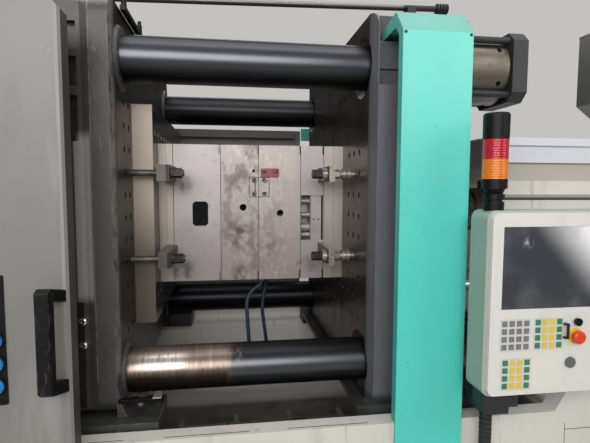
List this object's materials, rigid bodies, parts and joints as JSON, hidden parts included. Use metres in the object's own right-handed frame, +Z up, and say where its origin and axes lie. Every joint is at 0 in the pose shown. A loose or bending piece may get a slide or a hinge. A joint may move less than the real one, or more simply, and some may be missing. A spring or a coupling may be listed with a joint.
{
  "type": "injection moulding machine",
  "caption": "Horizontal injection moulding machine with a hydraulic clamp, four tie bars, a fitted mould, sliding gates, an operator panel and a signal tower.",
  "frame": {"origin": "on the floor, below the mould face of the fixed platen on the machine's centre line", "axes": "+X along the machine towards the injection unit, +Y away from the operator, +Z up"},
  "size_m": [8.3, 1.811, 2.3683],
  "materials": {
    "cream_paint": "satin paint, lightly soiled",
    "grey_casting": "warm dark grey paint on a casting",
    "tie_bar_steel": "dark oiled steel, worn bare in places",
    "nut_steel": "machined, brown oil film",
    "black_steel": "black paint",
    "dark_steel": "black oxide, worn",
    "ground_steel": "ground",
    "machined_steel": "ground, stained and scratched",
    "stainless": "brushed sheet",
    "zinc_steel": "bright zinc",
    "bronze": "turned",
    "grey_paint": "satin paint",
    "hard_chrome": "polished",
    "red_paint": "worn paint",
    "blue_hose": "matt",
    "gate_paint": "satin paint, scuffed",
    "window_clear": "clear sheet",
    "black_plastic": "worn",
    "blue_plastic": "smooth",
    "rail_aluminium": "drawn",
    "teal_paint": "satin paint",
    "panel_plastic": "fine satin",
    "screen_glass": "smudged",
    "key_plastic": "membrane keys",
    "red_plastic": "smooth",
    "red_lens": "ribbed lens",
    "amber_lens": "ribbed lens",
    "band_steel": "heat tinted"
  },
  "bodies": {
    "root": {"bed_frame": "cream_paint", "levelling_feet": "dark_steel", "parts_chute": "stainless", "fixed_platen": "grey_casting", "end_platen": "grey_casting", "tie_bars": "tie_bar_steel", "tie_bar_nuts": "nut_steel", "nut_retainers": "black_steel", "clamp_cylinder": "grey_paint", "mould_cavity_plate": "machined_steel", "mould_runner_plate": "machined_steel", "mould_clamp_plate_fixed": "machined_steel", "interlock_socket": "machined_steel", "mould_strap": "red_paint", "mould_clamps_fixed": "zinc_steel", "locating_ring": "machined_steel", "water_hose_left": "blue_hose", "water_hose_right": "blue_hose", "gate_rails": "rail_aluminium", "platen_covers": "teal_paint", "safety_rod": "ground_steel", "panel_housing": "panel_plastic", "panel_screen": "screen_glass", "panel_keypads": "key_plastic", "panel_arm": "black_steel", "signal_tower": "black_plastic", "lamp_red": "red_lens", "lamp_amber": "amber_lens", "injection_guides": "ground_steel"},
    "clamp": {"moving_platen": "grey_casting", "tie_bar_bushes": "bronze", "platen_shoes": "grey_casting", "clamp_piston": "hard_chrome", "adapter_plate": "machined_steel", "mould_clamp_plate_moving": "machined_steel", "mould_support_plate": "machined_steel", "mould_core_plate": "machined_steel", "mould_guide_pins": "ground_steel", "interlock_key": "machined_steel", "mould_clamps_moving": "dark_steel"},
    "ejector": {"ejector_rod": "hard_chrome", "mould_ejector_plate": "machined_steel"},
    "gate": {"front_gate": "gate_paint", "gate_window": "window_clear", "gate_handle": "black_plastic", "gate_button_strip": "black_plastic"},
    "button_upper": {"gate_button_upper": "blue_plastic"},
    "button_middle": {"gate_button_middle": "blue_plastic"},
    "button_lower": {"gate_button_lower": "blue_plastic"},
    "back_gate": {"rear_gate": "gate_paint"},
    "estop": {"estop_button": "red_plastic"},
    "start": {"start_button": "black_plastic"},
    "carriage": {"injection_carriage": "grey_paint", "barrel": "ground_steel", "heater_bands": "band_steel", "hopper": "stainless"},
    "lid": {"hopper_lid": "stainless"},
    "drive": {"screw_drive": "black_steel"},
    "screw": {"plasticising_screw": "hard_chrome"},
    "guard": {"injection_guard": "cream_paint"}
  },
  "joints": [
    {"name": "clamp_stroke", "type": "slide", "parent": "root", "child": "clamp", "axis": [-1, 0, 0], "range_m": [0, 0.85]},
    {"name": "ejector_stroke", "type": "slide", "parent": "clamp", "child": "ejector", "axis": [1, 0, 0], "range_m": [0, 0.06]},
    {"name": "front_gate_slide", "type": "slide", "parent": "root", "child": "gate", "axis": [1, 0, 0], "range_m": [0, 0.92]},
    {"name": "rear_gate_slide", "type": "slide", "parent": "root", "child": "back_gate", "axis": [-1, 0, 0], "range_m": [0, 0.9]},
    {"name": "upper_button_press", "type": "slide", "parent": "gate", "child": "button_upper", "axis": [0, 1, 0], "range_m": [0, 0.004], "stiffness_N_per_m": 600},
    {"name": "middle_button_press", "type": "slide", "parent": "gate", "child": "button_middle", "axis": [0, 1, 0], "range_m": [0, 0.004], "stiffness_N_per_m": 600},
    {"name": "lower_button_press", "type": "slide", "parent": "gate", "child": "button_lower", "axis": [0, 1, 0], "range_m": [0, 0.004], "stiffness_N_per_m": 600},
    {"name": "estop_press", "type": "slide", "parent": "root", "child": "estop", "axis": [0, 1, 0], "range_m": [0, 0.005]},
    {"name": "start_press", "type": "slide", "parent": "root", "child": "start", "axis": [0, 1, 0], "range_m": [0, 0.004], "stiffness_N_per_m": 600},
    {"name": "carriage_slide", "type": "slide", "parent": "root", "child": "carriage", "axis": [1, 0, 0], "range_m": [0, 0.4]},
    {"name": "injection_stroke", "type": "slide", "parent": "carriage", "child": "drive", "axis": [1, 0, 0], "range_m": [0, 0.3]},
    {"name": "screw_turn", "type": "hinge", "parent": "drive", "child": "screw", "pos_m": [1.2, 0, 1.4], "axis": [1, 0, 0], "continuous": true},
    {"name": "hopper_lid_hinge", "type": "hinge", "parent": "carriage", "child": "lid", "pos_m": [1.82, 0.324, 2.34], "axis": [-1, 0, 0], "range_deg": [0, 100]},
    {"name": "injection_guard_slide", "type": "slide", "parent": "root", "child": "guard", "axis": [1, 0, 0], "range_m": [0, 0.4]}
  ]
}
